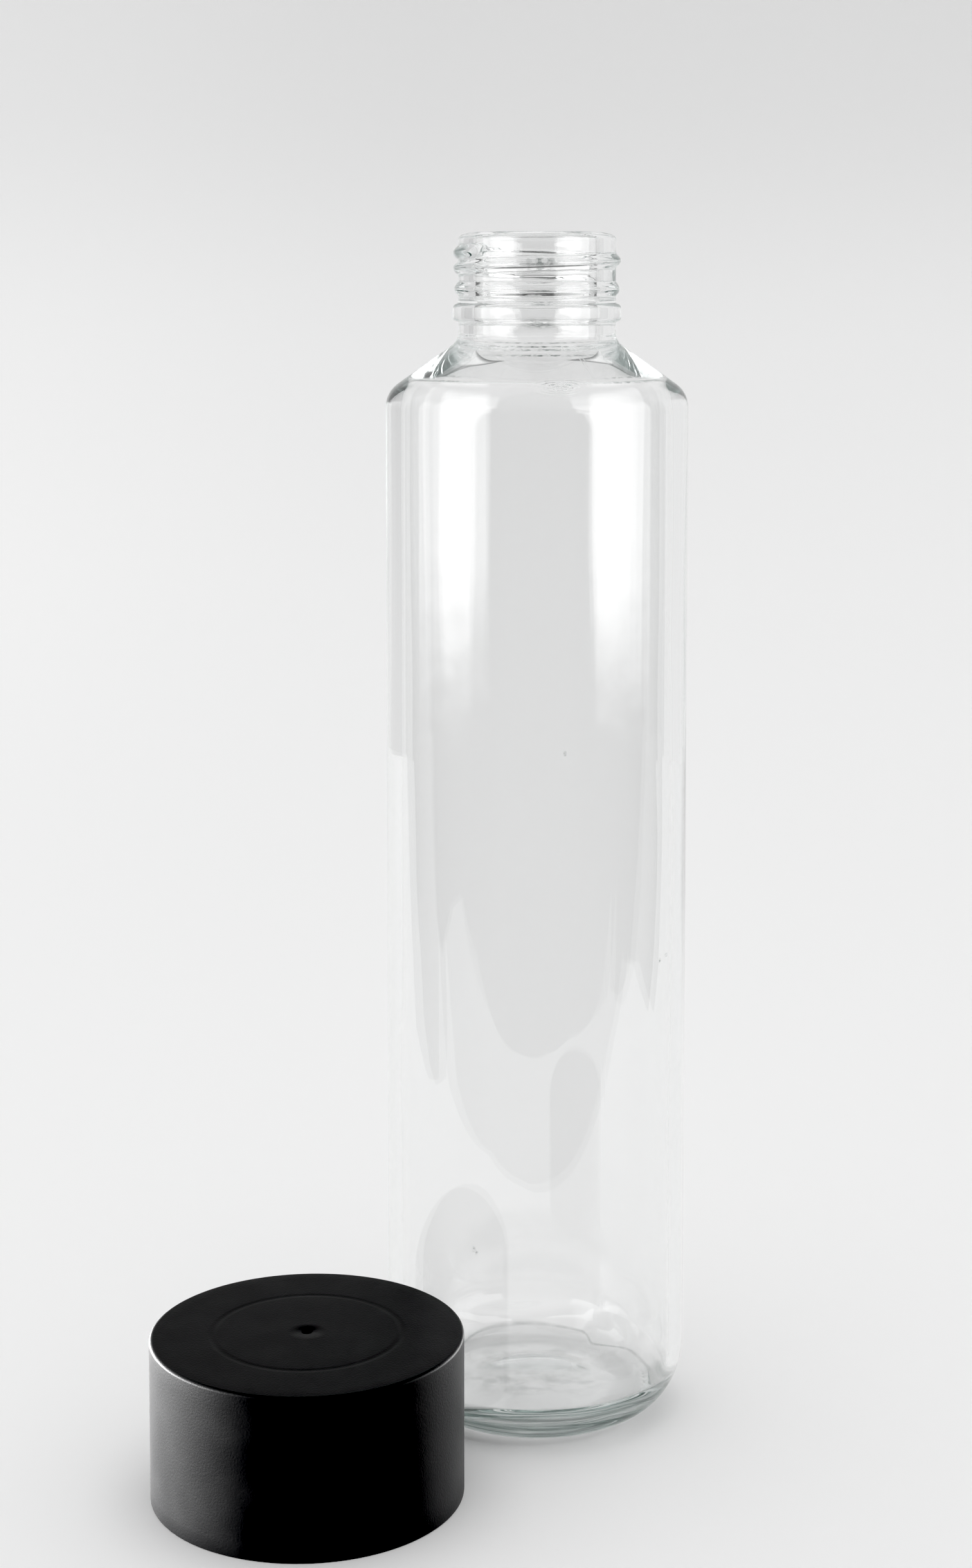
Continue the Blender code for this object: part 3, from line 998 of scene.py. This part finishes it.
def roomGlow():
    material, tree, glow = mirroredMaterial("Dim room")
    centreX, centreY, _ = axisOf("bottle")
    x, y, z = splitXyz(tree, objectPlace(tree))
    aside, ahead = minus(tree, centreX, x), minus(tree, centreY, y)
    angle = calc(tree, "DEGREES", calc(tree, "ARCTAN2", aside, ahead))
    soft = room["softEdge"]
    boxes = 0.0
    for side, innerLow, innerHigh, outer, shine in room["boxes"]:
        sideways = times(tree, angle, side)
        inner = remap(tree, z, room["widerFrom"], room["widerTo"], innerLow, innerHigh)
        opened = remap(tree, minus(tree, sideways, inner), -soft, soft, 0.0, shine)
        shut = remap(tree, sideways, outer - soft, outer + soft, 1.0, 0.0)
        boxes = plus(tree, boxes, times(tree, opened, shut))
    # The boxes fade unevenly at the foot, in blots that the bottle's round squeezes sideways.
    spread = joinXyz(tree, over(tree, angle, room["blotAngle"]), over(tree, z, room["blotHeight"]), 0.0)
    rise = times(tree, minus(tree, noise(tree, spread, 1.0, 2.0), 0.5), room["footRagged"])
    foot = remap(tree, plus(tree, z, rise), room["boxFootLow"], room["boxFootHigh"])
    # High up the boxes grow dimmer.
    high = remap(tree, z, room["boxTopFrom"], room["boxTopTo"], 1.0, room["boxTopGlow"])
    # Behind the bottle the ceiling is as pale as the paper.
    turned, start = calc(tree, "ABSOLUTE", angle), room["paleTurn"]
    upper = remap(tree, turned, start, start + room["paleSoft"], room["paleGlow"], room["backGlow"])
    wall = remap(tree, z, room["paleFrom"], room["paleTo"], room["dim"], upper)
    tree.links.new(plus(tree, times(tree, boxes, foot, high), wall), glow)
    return material


# An upright card bent round the bottle from one angle to another.
def bentCard(name, start, end, steps, material):
    axis = axisOf("bottle")
    points = []
    for i in range(steps + 1):
        x, y = pointRound(axis, start + (end - start) * i / steps, room["radius"])
        points += [(x, y, 0.0), (x, y, room["height"])]
    faces = [(2 * i, 2 * i + 1, 2 * i + 3, 2 * i + 2) for i in range(steps)]
    seenOnlyBy(stagePiece(name, points, faces, material), "glossy", "transmission")


# At the sides the light falls off, which greys the bottle's edges.
def makeSideCard(side, start, end):
    material, tree, glow = mirroredMaterial(side)
    z = splitXyz(tree, objectPlace(tree))[2]
    tree.links.new(remap(tree, z, 0.0, room["paleFrom"], *room[side]), glow)
    bentCard(side + "Card", start, end, room["sideSteps"], material)


def makeRoomCards():
    glow = roomGlow()
    bentCard("roomCard", room["rightEnd"], room["leftEnd"], room["steps"], glow)
    makeSideCard("leftSide", room["leftEnd"], room["sideEnd"])
    makeSideCard("rightSide", room["rightEnd"], -room["sideEnd"])
    # The ceiling carries the same fields, dimmed.
    wide, high = room["ceilingRadius"], room["ceilingZ"]
    corners = [(-wide, -wide, high), (wide, -wide, high), (wide, wide, high), (-wide, wide, high)]
    ceiling = stagePiece("ceilingCard", corners, [(0, 1, 2, 3)], glow)
    seenOnlyBy(ceiling, "glossy", "transmission")
    # Beyond the paper's edge the table is as dim as the room.
    centreX, centreY, _ = axisOf("bottle")
    reach, z = room["tableReach"], room["tableZ"]
    table = [(centreX + x * mm, centreY + y * mm, z) for x, y in paperEdge]
    table += [(reach, table[-1][1], z), (reach, -reach, z), (-reach, -reach, z), (-reach, table[0][1], z)]
    material, _, strength = mirroredMaterial("Dim table")
    strength.default_value = room["dim"]
    seenOnlyBy(stagePiece("tableCard", table, [range(len(table))], material), "glossy", "transmission")
    print("room made")


# Clear glass still keeps some light off the paper, most of it where the heel nearly touches.
shade = {
    "shift": (-2.5 * mm, -0.5 * mm),
    "innerRadius": 19.5 * mm,
    "outerRadius": 25.5 * mm,
    "foot": 1.6 * mm,
    "top": 200.0 * mm,
    "clearFrom": 9.0 * mm,
    "footPass": 0.45,
    "wallPass": 0.985,
    "steps": 64,
}


def makeShade():
    material = bpy.data.materials.new("Bottle shade")
    material.use_nodes = True
    tree = material.node_tree
    tree.nodes.remove(tree.nodes["Principled BSDF"])
    z = splitXyz(tree, objectPlace(tree))[2]
    passed = remap(tree, z, shade["foot"], shade["clearFrom"], shade["footPass"], shade["wallPass"])
    clear = addNode(tree, "ShaderNodeBsdfTransparent", {"Color": joinXyz(tree, passed, passed, passed)})
    tree.links.new(clear.outputs[0], tree.nodes["Material Output"].inputs["Surface"])
    centreX, centreY, _ = axisOf("bottle")
    inner, outer, foot = shade["innerRadius"], shade["outerRadius"], shade["foot"]
    outline = [(inner, foot), (outer, foot), (outer, shade["top"])]
    shiftX, shiftY = shade["shift"]
    points, faces = turnedSheet(centreX + shiftX, centreY + shiftY, outline, shade["steps"])
    seenOnlyBy(stagePiece("bottleShade", points, faces, material), "diffuse", "shadow")
    print("shade made")


makeCamera()
makeFloor()
makeLights()
makeRoomCards()
makeShade()

glassBottle = makeBottle()
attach(glassBottle, "root")
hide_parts("bottle")
glassBottle.visible_shadow = False
print("bottle made")

screwCap = makeCap()
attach(screwCap, "root")
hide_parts("cap")
makeCapSheen(screwCap)
print("cap made")

# Light turns often inside the threads, so a path may be long.
paths = bpy.context.scene.cycles
paths.max_bounces = 128
paths.glossy_bounces = 128
paths.transmission_bounces = 64

# The photograph's deepest blacks are crushed a little.
colours = bpy.context.scene.view_settings
colours.view_transform = "Standard"
colours.use_curve_mapping = True
colours.curve_mapping.black_level = (0.03, 0.03, 0.03)
